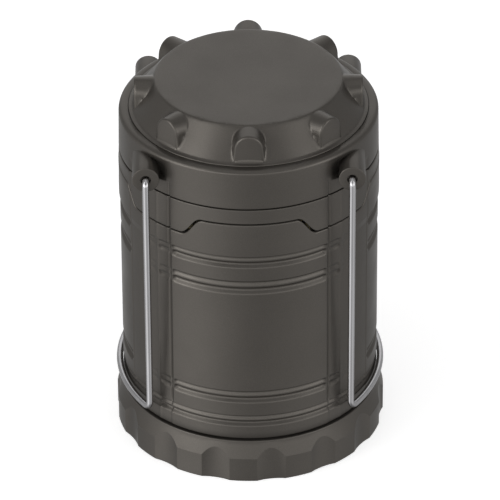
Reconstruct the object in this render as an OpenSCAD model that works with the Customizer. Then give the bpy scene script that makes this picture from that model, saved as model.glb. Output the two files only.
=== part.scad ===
// Collapsible camping lantern. The light head slides up out of the battery housing.
// Millimetres, +Z up, front towards -Y. The origin is the centre of the underside.

/* [Housing] */
// Outside radius of the lower shell, the skirt and the collar
body_r = 42; // [41.9:0.05:42.05]
// Wall of the lower shell and the skirt
shell_wall = 3.2; // [3.1:0.05:3.25]
// Height of the underside of the lower shell
floor_z = 15.4; // [15.2:0.1:15.6]
// Thickness of the floor of the lower shell
floor_t = 3; // [2.6:0.1:3]
// Height of the parting line between the tabs
mouth_z = 91.7; // [91.5:0.1:92]
// Height of the four tabs above the parting line
tab_rise = 6.4; // [4:0.2:8]
// Half of the flat top of a tab
tab_half = 15.4; // [12:0.2:17]
// Width of the curved flank of a tab
tab_ease = 5.9; // [4:0.1:6]
// Gap along the parting line
seam = 0.4; // [0.2:0.1:0.6]

/* [Panels] */
// Half width of the front and back panels
panel_half = 25.5; // [24:0.5:27]
// Half width of the side panels
side_half = 18; // [16:0.5:19]
// Depth of the horizontal grooves
groove_d = 1.3; // [0.8:0.1:1.5]
// Width of the vertical line beside a front or back panel
line_w = 0.8; // [0.6:0.1:1.2]
// Depth of that line
line_d = 0.5; // [0.3:0.1:0.8]

/* [Base cap] */
// Outside radius of the base cap
cap_r = 44.3; // [44:0.1:45]
// Height of the base cap
cap_h = 14.7; // [14.4:0.1:14.9]
// Finger scallops around the cap
scallops = 15; // [12:1:18]
// Depth of a scallop
scallop_d = 1.2; // [0.8:0.1:1.6]
// Radius of a scallop
scallop_r = 12.2; // [9:0.2:13]
// Travel of the cap thread in one turn
lead = 24; // [22:1:26]
// Starts of the cap thread
starts = 4; // [4:1:4]

/* [Light head] */
// Lift of the head from closed to open
lift = 60; // [40:1:60]
// Height of the joint between the skirt and the collar
collar_z = 104; // [103.8:0.1:104.2]
// Height of the rim of the collar
rim_z = 117.9; // [117.5:0.1:118.2]
// Height of the top of the cap
top_z = 128; // [127.5:0.5:129]
// Radius of the flat disc on the top
disc_r = 30.3; // [29:0.1:31]
// Lugs around the top cap
lugs = 8; // [6:1:12]
// Half width of a lug
lug_r = 5.2; // [4:0.1:5.6]
// Distance of the face of a lug from the axis
lug_reach = 36.9; // [36:0.1:37.2]
// Outside radius of the clear lens
lens_r = 37.5; // [37.3:0.1:37.5]
// Wall of the clear lens
lens_wall = 1.8; // [1.4:0.1:1.8]
// Distance from the axis to a flat of the reflector column
column_flat = 23; // [22.6:0.1:23.2]
// Light-emitting diodes on each board
leds_per_board = 5; // [3:1:5]

/* [Handles] */
// Diameter of the handle wire
wire_d = 2.2; // [1.8:0.1:2.2]
// Distance of a handle pivot from the centre plane
pivot_x = 32.8; // [32.7:0.1:33]
// Height of the handle pivots
pivot_z = 110.9; // [110.7:0.1:111]
// Distance of the foot of a handle leg from the centre plane
leg_y = 31.8; // [31.7:0.1:32.2]
// Distance of the head of a handle leg from the centre plane
leg_top_y = 36.9; // [36.7:0.1:37.2]
// Height of the cross wire when the handle hangs down
wire_z = 20.7; // [20.5:0.1:22]
// Radius of the bend below a leg
bend_r = 3; // [2.6:0.1:3.2]
// Half of the angle that the cross wire sweeps
sweep = 33.2; // [33.1:0.1:34]
// Diameter of the four handle bosses
boss_d = 8.6; // [8:0.1:8.6]
// Distance of the face of a boss from the centre plane
boss_y = 35.2; // [34.9:0.1:35.3]

/* [Battery pack] */
// Radius of the holder around the cells
holder_r = 18.5; // [18.3:0.1:18.7]
// Radius of a size AA cell
cell_r = 7.15; // [7:0.05:7.25]
// Length of a size AA cell with its terminal
cell_l = 50.5; // [49.5:0.1:50.5]
// Distance of a cell from the axis
cell_pitch = 9.2; // [9.1:0.1:9.3]

/* [Hidden] */
$fn = 96;
eps = 0.01;
run_gap = 0.05;
spare = 1;
edge = 0.3;
shell_in = body_r - shell_wall;
floor_top = floor_z + floor_t;
quarter_turns = [0, 90, 180, 270];

// Horizontal grooves as [top height, height of the groove]
panel_grooves = [[86.2, 4.8], [76.8, 5.4], [34.2, 5.0]];
ring_groove = [24.6, 4.6];
line_angle = asin(panel_half / body_r);
ease_steps = 8;

neck_r = 37.4;
neck_in = 35.4;
neck_z = 5;
neck_ridge_r = neck_r + 1.5;
cap_bore = neck_r + 1.9;
cap_floor = 2.5;
cap_ridge_r = neck_r + 0.4;
ridge_steps = 12;
ridge_span = 50;
ridge_h = 2;
ridge_tip_h = 1.2;
neck_ridge_z = 7.2;
ridge_offset = 2.2;
shoulder_z = 8.9;
scallop_phase = 8.85;
key_w = 4;
key_r = neck_in - 2;
key_z = 3;
lip_z = 88;
lip_r = lens_r + 0.3;
lip_top = mouth_z - 0.4;
friction_r = lens_r + 0.1;
friction_out = lip_r + 0.7;
friction_z = lip_z + 1.1;
friction_h = 1.2;

rail_angles = [45, 225];
rail_w = 5.6;
rail_t = 0.5;
rail_r = sqrt(shell_in * shell_in - rail_w * rail_w / 4) - run_gap - rail_t;
rail_step_z = 33;
rail_foot_w = 0.8;
rail_foot_angle = asin((rail_w - rail_foot_w) / 2 / rail_r);
guide_t = 2.8;
guide_top = lip_z - lift - 0.1;
guide_r = shell_in - 0.3;
wiper_w = 3.6;
wiper_h = 1.7;
wiper_tip_r = 1;
lead_r = 0.5;
lead_hole_r = 0.7;
lead_at = 21.3;
upper_cone = [95, 100];
lower_cone = [guide_top + 6.5, guide_top + 2.5];
column_bore = 19.6;
column_top = collar_z + 0.3;
column_r = column_flat / cos(30);
board_t = 1;
board_w = 11;
board_z = 42;
board_h = 50;
led_w = 5;
led_t = 1.5;
led_pitch = 9.5;
led_z = 48;
plate_z = column_top + 0.1;
plate_t = 2;
plate_r = shell_in - 0.5;
plate_hole_r = 8;
web_z = plate_z + plate_t + 0.1;
web_t = 1.8;
web_r = 27;
post_r = 3.4;
post_at = 31;
post_z = web_z + web_t + 0.1;
post_grip = 7;
screw_r = 1.45;
screw_hole_r = screw_r + run_gap;
screw_head_r = 2.6;
screw_head_h = 2;
screw_slot = 0.6;
spigot_r = body_r - 2;
spigot_h = 2.6;
pocket_z = 109.2;
pocket_top = 115.8;
pocket_r = 40.2;
seat_z = 113.6;
seat_gap = 0.5;
cap_rim_r = 38.7;
cap_rim_z = seat_z + 0.1;
cap_ledge_z = 118.5;
cap_wall = 2;
collar_round = [1.8, 1.4];
boss_root = 18;
lug_z = top_z - lug_r - 0.2;
pin_r = wire_d / 2;
pin_in = 24.2;
pin_hole_r = pin_r + run_gap;
mouth_hole_r = 1.6;
mouth_hole_d = 1.2;
turn_r = 2;
bite = 0.1;

flange_r = 35.3;
flange_t = 2;
holder_z = 6;
holder_top = 59;
cell_z = 6.6;
cell_tip_r = 2.75;
cell_tip_h = 1.3;
cell_hole_r = cell_r + 0.3;
screw_at = 32.4;
disc_t = 1.3;
disc_z = cap_floor + 0.1;
contact_r = 5;
contact_t = 0.3;
strap_t = 0.4;
strap_r = 3;
rivet_r = 1;
spring_wire = 0.6;

// A tube with its axis on Z
module tube(r_out, r_in, z0, z1) {
    translate([0, 0, z0]) linear_extrude(z1 - z0) difference() {
        circle(r_out);
        circle(r_in);
    }
}

// A bar that points away from the axis, from r0 to r1, centred on its width
module radial_bar(angle, r0, r1, w, z0, z1) {
    rotate([0, 0, angle]) translate([r0, -w / 2, z0]) cube([r1 - r0, w, z1 - z0]);
}

// A round rod that points away from the axis
module radial_rod(angle, r0, r1, r, z) {
    rotate([0, 0, angle]) translate([r0, 0, z]) rotate([0, 90, 0]) cylinder(h = r1 - r0, r = r);
}

function ease(t) = t <= 0 ? 0 : t >= 1 ? 1 : t * t * (3 - 2 * t);

// Outline of one tab, from its left foot to its right foot, grown by a gap
function tab_outline(gap) = concat(
    [for (i = [0:ease_steps])
        [-tab_half - tab_ease * (1 - i / ease_steps) - gap,
         mouth_z + tab_rise * ease(i / ease_steps) + gap]],
    [for (i = [0:ease_steps])
        [tab_half + tab_ease * i / ease_steps + gap,
         mouth_z + tab_rise * ease(1 - i / ease_steps) + gap]]
);

// The four tabs as prisms that run out from the axis
module tabs(gap) {
    foot = tab_half + tab_ease + gap;
    below = mouth_z - 2;
    outline = concat([[-foot, below]], tab_outline(gap), [[foot, below]]);
    for (turn = quarter_turns) rotate([0, 0, turn])
        translate([0, -body_r / 2, 0]) rotate([90, 0, 0]) linear_extrude(body_r) polygon(outline);
}

// One horizontal groove with a steep top edge and a sloping lower ledge
module groove_ring(top, h) {
    ledge = 1.2;
    out = body_r + spare;
    rotate_extrude() polygon([
        [out, top], [body_r, top], [body_r - groove_d, top - edge],
        [body_r - groove_d, top - h + ledge], [body_r, top - h], [out, top - h]
    ]);
}

// The front, back and side windows that the short grooves show in
module panel_windows() {
    reach = 2 * body_r + 4;
    translate([-panel_half, -reach / 2, 0]) cube([2 * panel_half, reach, top_z]);
    translate([-reach / 2, -side_half, 0]) cube([reach, 2 * side_half, top_z]);
}

// The vertical lines beside the front and back panels
module panel_lines(z0, z1) {
    for (side = [-1, 1], back = [0, 180])
        radial_bar(back - 90 + side * line_angle, body_r - line_d, body_r + spare, line_w, z0, z1);
}

// One thread ridge; r_root is buried in the wall it grows from
module thread_ridge(r_root, r_tip, z_start) {
    outwards = r_tip > r_root ? 1 : -1;
    points = [for (i = [0:ridge_steps], corner = [0:3])
        let (
            a = ridge_span * i / ridge_steps,
            tip = corner == 1 || corner == 2,
            r = tip ? r_tip : r_root,
            half = (tip ? ridge_tip_h : ridge_h) / 2,
            z = z_start + lead * a / 360 + (corner < 2 ? -half : half) * outwards
        )
        [r * cos(a), r * sin(a), z]];
    sides = [for (i = [0:ridge_steps - 1], j = [0:3])
        let (a = 4 * i + j, b = 4 * i + (j + 1) % 4)
        each [[a, b + 4, a + 4], [a, b, b + 4]]];
    last = 4 * ridge_steps;
    polyhedron(points, concat([[3, 2, 1, 0], [last, last + 1, last + 2, last + 3]], sides));
}

// All starts of a thread; an inside thread has its tip at the smaller radius
module thread(r_root, r_tip, z_start) {
    for (k = [0:starts - 1]) rotate([0, 0, 360 * k / starts]) thread_ridge(r_root, r_tip, z_start);
}

// Screw with its head at the bottom and its shank pointing up
module screw(z_head, z_end) {
    translate([0, 0, z_head]) difference() {
        cylinder(h = screw_head_h, r = screw_head_r);
        for (turn = [0, 90]) rotate([0, 0, turn])
            translate([-screw_head_r / 2, -screw_slot / 2, -eps])
                cube([screw_head_r, screw_slot, screw_slot]);
    }
    translate([0, 0, z_head + screw_head_h - eps])
        cylinder(h = z_end - z_head - screw_head_h + eps, r = screw_r);
}

// Copies its child at each screw of the holder
module at_holder_screws() {
    for (a = [30, 150, 270]) rotate([0, 0, a]) translate([screw_at, 0, 0]) children();
}

// Copies its child at each screw of the head
module at_head_screws() {
    for (turn = quarter_turns) rotate([0, 0, turn + 45]) translate([post_at, 0, 0]) children();
}

// Copies its child at each cell; cell number 2 stands upside down
module at_cells(which = [0, 1, 2]) {
    for (k = which) rotate([0, 0, 90 + 120 * k]) translate([cell_pitch, 0, 0]) children();
}

module lower_shell() {
    color("#56534e") difference() {
        union() {
            tube(body_r, shell_in, floor_z, mouth_z);
            intersection() {
                tube(body_r, shell_in, mouth_z - spare, mouth_z + tab_rise);
                tabs(0);
            }
            tube(body_r, screw_at - screw_head_r, floor_z, floor_top);
            tube(neck_r, neck_in, neck_z, floor_z + eps);
            tube(shell_in + spare, lip_r, lip_z, lip_top);
            radial_bar(90, key_r, neck_in + spare, key_w, neck_z, floor_z + eps);
            radial_bar(90, key_r, neck_in - 0.2, key_w, key_z, neck_z + eps);
            thread(neck_r - 0.5, neck_ridge_r, neck_ridge_z);
        }
        for (g = panel_grooves) intersection() {
            groove_ring(g[0], g[1]);
            panel_windows();
        }
        groove_ring(ring_groove[0], ring_groove[1]);
        panel_lines(floor_z - spare, top_z);
        at_holder_screws() translate([0, 0, floor_z - spare])
            cylinder(h = floor_t + 2 * spare, r = screw_hole_r);
        tube(friction_out + 0.1, lip_r - spare, friction_z - 0.1, friction_z + friction_h + 0.1);
    }
}

// O-ring in the corner between the neck and the floor of the shell
module neck_seal() {
    section_r = 0.85;
    color("#1d1d1d") translate([0, 0, floor_z - section_r - run_gap])
        rotate_extrude() translate([neck_r + section_r + run_gap, 0]) circle(section_r);
}

// Ring in the lip of the shell that rubs on the lens and holds the head up
module friction_ring() {
    color("#2a2a2a") tube(friction_out, friction_r, friction_z, friction_z + friction_h);
}

module battery_holder() {
    flange_z = floor_top + run_gap;
    cell_top = cell_z + cell_l + 0.6;
    color("#2b2b2d") difference() {
        union() {
            translate([0, 0, holder_z]) cylinder(h = holder_top - holder_z, r = holder_r);
            translate([0, 0, flange_z]) cylinder(h = flange_t, r = flange_r);
        }
        at_cells() translate([0, 0, holder_z - spare])
            cylinder(h = cell_top - holder_z + spare, r = cell_hole_r);
        at_cells([0, 1]) cylinder(h = top_z, r = rivet_r);
        at_holder_screws() cylinder(h = floor_top + flange_t, r = screw_hole_r);
    }
}

module holder_screws() {
    color("#b9b9b9") at_holder_screws() screw(floor_z - screw_head_h, floor_top + flange_t - 0.2);
}

module batteries() {
    body_l = cell_l - cell_tip_h;
    color("#30343a") at_cells() difference() {
        translate([0, 0, cell_z]) cylinder(h = cell_l, r = cell_r);
        translate([0, 0, cell_z + body_l]) tube(cell_r + spare, cell_tip_r, 0, cell_tip_h + spare);
    }
}

// Two cell contacts on rivets, and the strap above the holder that joins them
module top_contacts() {
    pad_z = cell_z + cell_l + run_gap;
    pad_t = 0.5;
    pad_r = cell_tip_r + 1.5;
    strap_z = holder_top + run_gap;
    color("#c9a24a") {
        at_cells([0, 1]) translate([0, 0, pad_z]) {
            cylinder(h = pad_t, r = pad_r);
            cylinder(h = strap_z - pad_z + strap_t, r = rivet_r - run_gap);
        }
        difference() {
            hull() at_cells([0, 1]) translate([0, 0, strap_z])
                cylinder(h = strap_t, r = strap_r, $fn = 32);
            translate([0, 0, strap_z - spare]) cylinder(h = strap_t + 2 * spare, r = rivet_r);
        }
    }
}

// Two strips on the inside wall of the shell; the wipers pass beside the narrow foot, so the light is off
module contact_rails() {
    foot_z = floor_top + 0.6;
    color("#c9a24a") for (a = rail_angles) {
        radial_bar(a, rail_r, rail_r + rail_t, rail_w, rail_step_z, lip_z - 0.1);
        rotate([0, 0, a]) translate([rail_r, rail_w / 2 - rail_foot_w, foot_z])
            cube([rail_t, rail_foot_w, rail_step_z - foot_z + edge]);
    }
}

module holder_leads() {
    lead_z = floor_top + flange_t + 0.8;
    color("#8c2f2b") for (a = rail_angles)
        radial_rod(a + rail_foot_angle, holder_r + run_gap, rail_r - 2 * run_gap, lead_r, lead_z);
}

module top_cap() {
    cone_foot = [cap_rim_r - 1.1, cap_ledge_z + 0.4];
    rim_in = cap_rim_r - cap_wall;
    outer = [
        [0, top_z], [disc_r - 2 * edge, top_z], [disc_r, top_z - edge], cone_foot,
        [cap_rim_r, cap_ledge_z], [cap_rim_r, cap_rim_z], [0, cap_rim_z]
    ];
    inner = [
        [0, top_z - cap_wall], [disc_r - 1, top_z - cap_wall], cone_foot - [1.4, 1.1],
        [rim_in, cap_ledge_z - 1.5], [rim_in, cap_rim_z - spare], [0, cap_rim_z - spare]
    ];
    color("#5a5751") difference() {
        union() {
            difference() {
                union() {
                    rotate_extrude() polygon(outer);
                    for (k = [0:lugs - 1]) rotate([0, 0, 360 * k / lugs - 90]) lug();
                }
                rotate_extrude() polygon(inner);
            }
            intersection() {
                at_head_screws() translate([0, 0, post_z]) cylinder(h = top_z - post_z, r = post_r);
                union() {
                    rotate_extrude() polygon(outer);
                    translate([0, 0, post_z]) cylinder(h = cap_rim_z - post_z + spare, r = rim_in);
                }
            }
        }
        at_head_screws() translate([0, 0, post_z - spare]) cylinder(h = post_grip + 3, r = screw_hole_r);
    }
}

// An arched lug that points away from the axis
module lug() {
    start = disc_r - 4;
    foot_z = cap_ledge_z + 0.5;
    translate([start, 0, lug_z]) rotate([0, 90, 0]) cylinder(h = lug_reach - start, r = lug_r);
    translate([start, -lug_r, foot_z]) cube([lug_reach - start, 2 * lug_r, lug_z - foot_z]);
}

module handle_collar() {
    color("#524f4a") difference() {
        union() {
            difference() {
                collar_wall();
                collar_pockets();
            }
            tube(shell_in + spare, web_r, web_z, web_z + web_t);
            for (x = [-1, 1], y = [-1, 1]) boss(x, y);
        }
        translate([0, 0, seat_z]) cylinder(h = rim_z, r = cap_rim_r + seat_gap);
        translate([0, 0, collar_z - spare]) cylinder(h = spigot_h + spare, r = spigot_r + 0.1);
        for (x = [-1, 1], y = [-1, 1]) boss_bore(x, y);
        at_head_screws() translate([0, 0, web_z - spare])
            cylinder(h = web_t + 2 * spare, r = screw_hole_r);
    }
}

// The collar as a turned ring with a rounded rim
module collar_wall() {
    inner = cap_rim_r + seat_gap;
    arc_steps = 6;
    arc_at = [body_r, rim_z] - collar_round;
    arc = [for (a = [0:90 / arc_steps:90])
        arc_at + [collar_round[0] * cos(a), collar_round[1] * sin(a)]];
    rotate_extrude() polygon(concat(
        [[shell_in, collar_z], [body_r, collar_z]],
        arc,
        [[inner + edge, rim_z], [inner, rim_z - edge], [inner, seat_z], [shell_in, seat_z]]
    ));
}

// The four recesses between the bosses and the front and back panels
module collar_pockets() {
    h = pocket_top - pocket_z;
    for (x = [0, 1], y = [0, 1]) mirror([x, 0, 0]) mirror([0, y, 0]) difference() {
        translate([panel_half, 0, pocket_z]) cube([pivot_x - panel_half, body_r + spare, h]);
        translate([0, 0, pocket_z - spare]) cylinder(h = h + 2 * spare, r = pocket_r);
    }
}

// Places its child with +Z along the axis of a boss, at distance y_at from the centre plane
module at_boss(x, y, y_at) {
    translate([x * pivot_x, y * y_at, pivot_z]) rotate([-90 * y, 0, 0]) children();
}

module boss(x, y) {
    at_boss(x, y, boss_root) cylinder(h = boss_y - boss_root, d = boss_d);
}

// The bore that a handle pin turns in, with a wider mouth
module boss_bore(x, y) {
    at_boss(x, y, pin_in - edge) cylinder(h = boss_y, r = pin_hole_r);
    at_boss(x, y, boss_y - mouth_hole_d) cylinder(h = boss_y, r = mouth_hole_r);
}

module head_skirt() {
    color("#5b5852") difference() {
        union() {
            tube(body_r, shell_in, mouth_z + seam, collar_z - seam);
            tube(spigot_r, shell_in + run_gap, collar_z - seam - spare, collar_z + spigot_h - 0.2);
        }
        tabs(seam);
        panel_lines(mouth_z, collar_z);
    }
}

module head_plate() {
    color("#3a3a3c") difference() {
        translate([0, 0, plate_z]) cylinder(h = plate_t, r = plate_r);
        translate([0, 0, plate_z - spare]) {
            cylinder(h = plate_t + 2 * spare, r = plate_hole_r);
            at_head_screws() cylinder(h = plate_t + 2 * spare, r = screw_hole_r);
        }
    }
}

module head_screws() {
    color("#b9b9b9") at_head_screws() screw(plate_z - screw_head_h, post_z + post_grip);
}

module lens_tube() {
    color("#e8eef0", 0.35) tube(lens_r, lens_r - lens_wall, guide_top + run_gap, column_top);
}

module reflector_column() {
    color("#d9dadc") difference() {
        translate([0, 0, guide_top + 0.1])
            cylinder(h = column_top - guide_top - 0.1, r = column_r, $fn = 6);
        translate([0, 0, guide_top - spare]) cylinder(h = top_z, r = column_bore);
        for (a = rail_angles) rotate([0, 0, a]) translate([lead_at, 0, guide_top - spare])
            cylinder(h = board_z + 4 - guide_top, r = lead_hole_r);
    }
}

// Thin mirrored cone between the column and the lens, from the inner height to the outer height
module cone_mirror(heights) {
    gap = 0.4;
    sheet_t = 1;
    foot = [column_r + gap, heights[0]];
    rim = [lens_r - lens_wall - gap, heights[1]];
    rotate_extrude() polygon([foot, rim, rim + [0, sheet_t], foot + [0, sheet_t]]);
}

module upper_reflector() {
    color("#e2e3e5") cone_mirror(upper_cone);
}

module lower_reflector() {
    color("#e2e3e5") cone_mirror(lower_cone);
}

// Foot of the head: it slides inside the shell and stops under the lip
module guide_ring() {
    z0 = guide_top - guide_t - spare;
    color("#3a3a3c") difference() {
        tube(guide_r, column_bore + 0.1, guide_top - guide_t, guide_top);
        for (a = rail_angles) {
            radial_bar(a, guide_r - 2.4, guide_r + spare, rail_w + 2 * edge, z0, guide_top + spare);
            rotate([0, 0, a]) translate([lead_at, 0, z0])
                cylinder(h = guide_t + 2 * spare, r = lead_hole_r);
        }
    }
}

// Copies its child on each face of the column, with +X pointing outwards
module at_faces() {
    for (k = [0:5]) rotate([0, 0, 30 + 60 * k]) translate([column_flat + run_gap, 0, 0]) children();
}

module led_boards() {
    color("#eef0ea") at_faces() translate([0, -board_w / 2, board_z]) cube([board_t, board_w, board_h]);
}

module leds() {
    dome_r = 2;
    dome_h = 0.2;
    color("#f2e27a") at_faces() for (i = [0:leds_per_board - 1])
        translate([board_t + run_gap, 0, led_z + i * led_pitch]) {
            translate([0, -led_w / 2, -led_w / 2]) cube([led_t, led_w, led_w]);
            translate([led_t - eps, 0, 0]) rotate([0, 90, 0]) cylinder(h = dome_h, r = dome_r);
        }
}

module wiper_contacts() {
    tip_at = rail_r - run_gap - wiper_tip_r;
    z0 = guide_top - guide_t + 0.4;
    color("#c9a24a") for (a = rail_angles) {
        radial_bar(a, guide_r - 2.3, tip_at, wiper_w, z0, z0 + wiper_h);
        rotate([0, 0, a]) translate([tip_at, 0, z0]) cylinder(h = wiper_h, r = wiper_tip_r);
    }
}

module head_leads() {
    z0 = guide_top - guide_t - lead_r - 0.2;
    color("#8c2f2b") for (a = rail_angles) {
        radial_rod(a, lead_at, guide_r - 1.5, lead_r - 0.03, z0);
        rotate([0, 0, a]) translate([lead_at, 0, z0 - lead_r])
            cylinder(h = board_z + 2 - z0, r = lead_r);
    }
}

// Wire handle that hangs from the bosses at +X, with legs that spread towards the pivots.
// The bends are drawn a little thinner.
module wire_handle() {
    bend_wire_r = pin_r - 0.02;
    arc_r = (leg_y - bend_r * cos(sweep)) / sin(sweep);
    arc_x = pivot_x - arc_r * cos(sweep) + bend_r * sin(sweep);
    arc_half = sweep + bite / arc_r * 180 / PI;
    leg_z = wire_z + bend_r - bite;
    to_turn = [leg_top_y - turn_r - leg_y, pivot_z - turn_r - leg_z];
    spread = atan2(to_turn[0], to_turn[1]) + asin(turn_r / norm(to_turn));
    leg_l = sqrt(pow(norm(to_turn), 2) - pow(turn_r, 2)) + bite;
    translate([arc_x, 0, wire_z]) rotate([0, 0, -arc_half])
        rotate_extrude(angle = 2 * arc_half) translate([arc_r, 0]) circle(pin_r);
    for (side = [0, 1]) mirror([0, side, 0]) {
        translate([arc_x + arc_r * cos(sweep), arc_r * sin(sweep), wire_z + bend_r])
            rotate([0, 0, sweep + 90]) rotate([90, 0, 0]) rotate([0, 0, -90])
            rotate_extrude(angle = 90) translate([bend_r, 0]) circle(bend_wire_r);
        translate([pivot_x, leg_y, leg_z]) rotate([-spread, 0, 0]) cylinder(h = leg_l, r = pin_r);
        translate([pivot_x, leg_top_y - turn_r, pivot_z - turn_r]) rotate([0, -90, 0])
            rotate([0, 0, -spread]) rotate_extrude(angle = 90 + spread)
            translate([turn_r, 0]) circle(bend_wire_r);
        translate([pivot_x, pin_in, pivot_z]) rotate([-90, 0, 0])
            cylinder(h = leg_top_y - turn_r + bite - pin_in, r = pin_r);
    }
}

module left_handle() {
    color("#c3c3c3") mirror([1, 0, 0]) wire_handle();
}

module right_handle() {
    color("#c3c3c3") wire_handle();
}

// Insulating disc that carries the lower contacts; a notch keeps it in line with the cells
module contact_disc() {
    color("#6b4a2f") difference() {
        translate([0, 0, disc_z]) cylinder(h = disc_t, r = neck_in - 0.6);
        radial_bar(90, key_r - 0.3, neck_in, key_w + 0.5, 0, neck_z);
    }
}

module contact_plates() {
    z0 = disc_z + disc_t + run_gap;
    color("#c9a24a") {
        hull() at_cells([1, 2]) translate([0, 0, z0]) cylinder(h = contact_t, r = contact_r, $fn = 32);
        at_cells([0]) translate([0, 0, z0]) cylinder(h = contact_t, r = contact_r);
    }
}

// Flat conical spring under one cell
module coil_spring(z0) {
    turns = 2;
    steps = 16 * turns;
    sides = 8;
    r0 = 4.3;
    taper = 1.2;
    rise = cell_z - z0 - spring_wire - 0.15;
    points = [for (i = [0:steps], j = [0:sides - 1])
        let (
            a = 360 * turns * i / steps,
            r = r0 - taper * i / steps + spring_wire / 2 * cos(360 * j / sides),
            z = z0 + spring_wire / 2 + rise * i / steps + spring_wire / 2 * sin(360 * j / sides)
        )
        [r * cos(a), r * sin(a), z]];
    faces = [for (i = [0:steps - 1], j = [0:sides - 1])
        let (a = sides * i + j, b = sides * i + (j + 1) % sides)
        each [[a, a + sides, b + sides], [a, b + sides, b]]];
    first = [for (j = [0:sides - 1]) j];
    last = [for (j = [0:sides - 1]) sides * steps + sides - 1 - j];
    polyhedron(points, concat([first, last], faces));
}

module battery_springs() {
    color("#c8c8c8") at_cells() coil_spring(disc_z + disc_t + contact_t + 2 * run_gap);
}

module base_cap() {
    profile = [
        [0, 0], [cap_r - 2 * edge, 0], [cap_r, 2 * edge], [cap_r, shoulder_z], [body_r + 0.2, cap_h],
        [cap_bore, cap_h], [cap_bore, cap_floor], [0, cap_floor]
    ];
    color("#4d4a45") difference() {
        union() {
            rotate_extrude() polygon(profile);
            thread(cap_bore + 0.5, cap_ridge_r, neck_ridge_z + ridge_offset);
        }
        for (k = [0:scallops - 1]) rotate([0, 0, scallop_phase - 90 + 360 * k / scallops])
            translate([cap_r - scallop_d + scallop_r, 0, -spare])
                cylinder(h = cap_h + 2 * spare, r = scallop_r);
    }
}

lower_shell();
neck_seal();
friction_ring();
battery_holder();
holder_screws();
batteries();
top_contacts();
contact_rails();
holder_leads();
top_cap();
handle_collar();
head_skirt();
head_plate();
head_screws();
lens_tube();
reflector_column();
upper_reflector();
lower_reflector();
guide_ring();
led_boards();
leds();
wiper_contacts();
head_leads();
left_handle();
right_handle();
contact_disc();
contact_plates();
battery_springs();
base_cap();
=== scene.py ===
"""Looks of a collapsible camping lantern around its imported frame.

Sizes are in millimetres until a mesh is made. Angles round the body run from the front (-Y) towards +X.
"""
import math

import bpy
import numpy as np

from mathutils import Matrix, Vector


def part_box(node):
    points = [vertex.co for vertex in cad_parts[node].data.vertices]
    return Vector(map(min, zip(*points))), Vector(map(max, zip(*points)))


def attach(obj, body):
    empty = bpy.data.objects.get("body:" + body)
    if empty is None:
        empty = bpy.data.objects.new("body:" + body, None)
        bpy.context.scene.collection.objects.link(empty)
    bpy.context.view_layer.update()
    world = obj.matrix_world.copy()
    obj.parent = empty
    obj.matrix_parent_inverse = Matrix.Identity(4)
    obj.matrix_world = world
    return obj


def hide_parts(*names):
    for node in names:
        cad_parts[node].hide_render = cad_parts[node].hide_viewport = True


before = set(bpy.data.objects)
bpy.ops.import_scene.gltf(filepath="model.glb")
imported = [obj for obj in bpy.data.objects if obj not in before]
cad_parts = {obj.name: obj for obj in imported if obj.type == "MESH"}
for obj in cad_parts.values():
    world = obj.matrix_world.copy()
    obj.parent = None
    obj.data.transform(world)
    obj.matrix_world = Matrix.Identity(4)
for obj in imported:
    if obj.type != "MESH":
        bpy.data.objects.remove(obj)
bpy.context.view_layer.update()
MM = 0.001

# Small chamfer on the edges that are hidden when the lantern is closed
CHAMFER = 0.3


# ---------------------------------------------------------------- sizes from the frame

def box_mm(node):
    """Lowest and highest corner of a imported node."""
    low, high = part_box(node)
    return np.array(low) / MM, np.array(high) / MM


shell_low, shell_high = box_mm("lower_shell")
skirt_low = box_mm("head_skirt")[0]
collar_low, collar_high = box_mm("handle_collar")
cap_low, cap_high = box_mm("top_cap")
base_high = box_mm("base_cap")[1]
wire_low, wire_high = box_mm("right_handle")
lens_high = box_mm("lens_tube")[1]

# Lower shell: wall, floor with its hole, threaded neck and the lip that stops the head
BODY_R = shell_high[0]
SHELL_IN = BODY_R - 3.2
FLOOR_Z = base_high[2] + 0.7
FLOOR_TOP = FLOOR_Z + 3
FLOOR_HOLE = 29.8
NECK_R = BODY_R - 4.6
NECK_IN = NECK_R - 2
NECK_Z = shell_low[2] + 2
SEAM = 0.4
MOUTH_Z = skirt_low[2] - SEAM
LIP_R = lens_high[0] + 0.3
LIP_Z = MOUTH_Z - 3.7

# Tabs of the parting line: height, half width of the level top, width of the slope beside it
TAB_RISE = shell_high[2] - MOUTH_Z
TAB_HALF = 14.5
TAB_EASE = 7.7

# Collar: spigot of the skirt inside it, seat of the cap, and the recesses beside the bosses
COLLAR_Z = collar_low[2]
RIM_Z = collar_high[2]
SPIGOT_R = BODY_R - 2
SEAT_Z = RIM_Z - 4.3
POCKET_Z = COLLAR_Z + 5.2
POCKET_TOP = RIM_Z - 2.1
POCKET_D = 1.25
POCKET_END = 56

# Top cap
TOP_Z = cap_high[2]
CAP_RIM_R = cap_high[0]
CAP_RIM_Z = cap_low[2]
DISC_R = 30.3
LUGS = 8
LUG_R = 5.2
LUG_REACH = 36.9

# Base cap, with a cone from its shoulder to its top. The scallops have a share of their depth at the
# foot and all of it at SCALLOP_FULL_Z; the phase turns them round the body, in degrees
BASE_R = base_high[0]
BASE_TOP = base_high[2]
SHOULDER_Z = 8.9
SCALLOPS = 15
SCALLOP_D = 1.2
SCALLOP_R = 12.2
SCALLOP_FOOT = 0.68
SCALLOP_FULL_Z = 12.5
SCALLOP_PHASE = 8.85

# Thread with four starts: lead of one turn, and degrees that each ridge runs
THREAD_LEAD = 24
THREAD_SPAN = 50
THREAD_H = 1.5
SHELL_THREAD_Z = 7.2
CAP_THREAD_Z = 9.4

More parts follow.
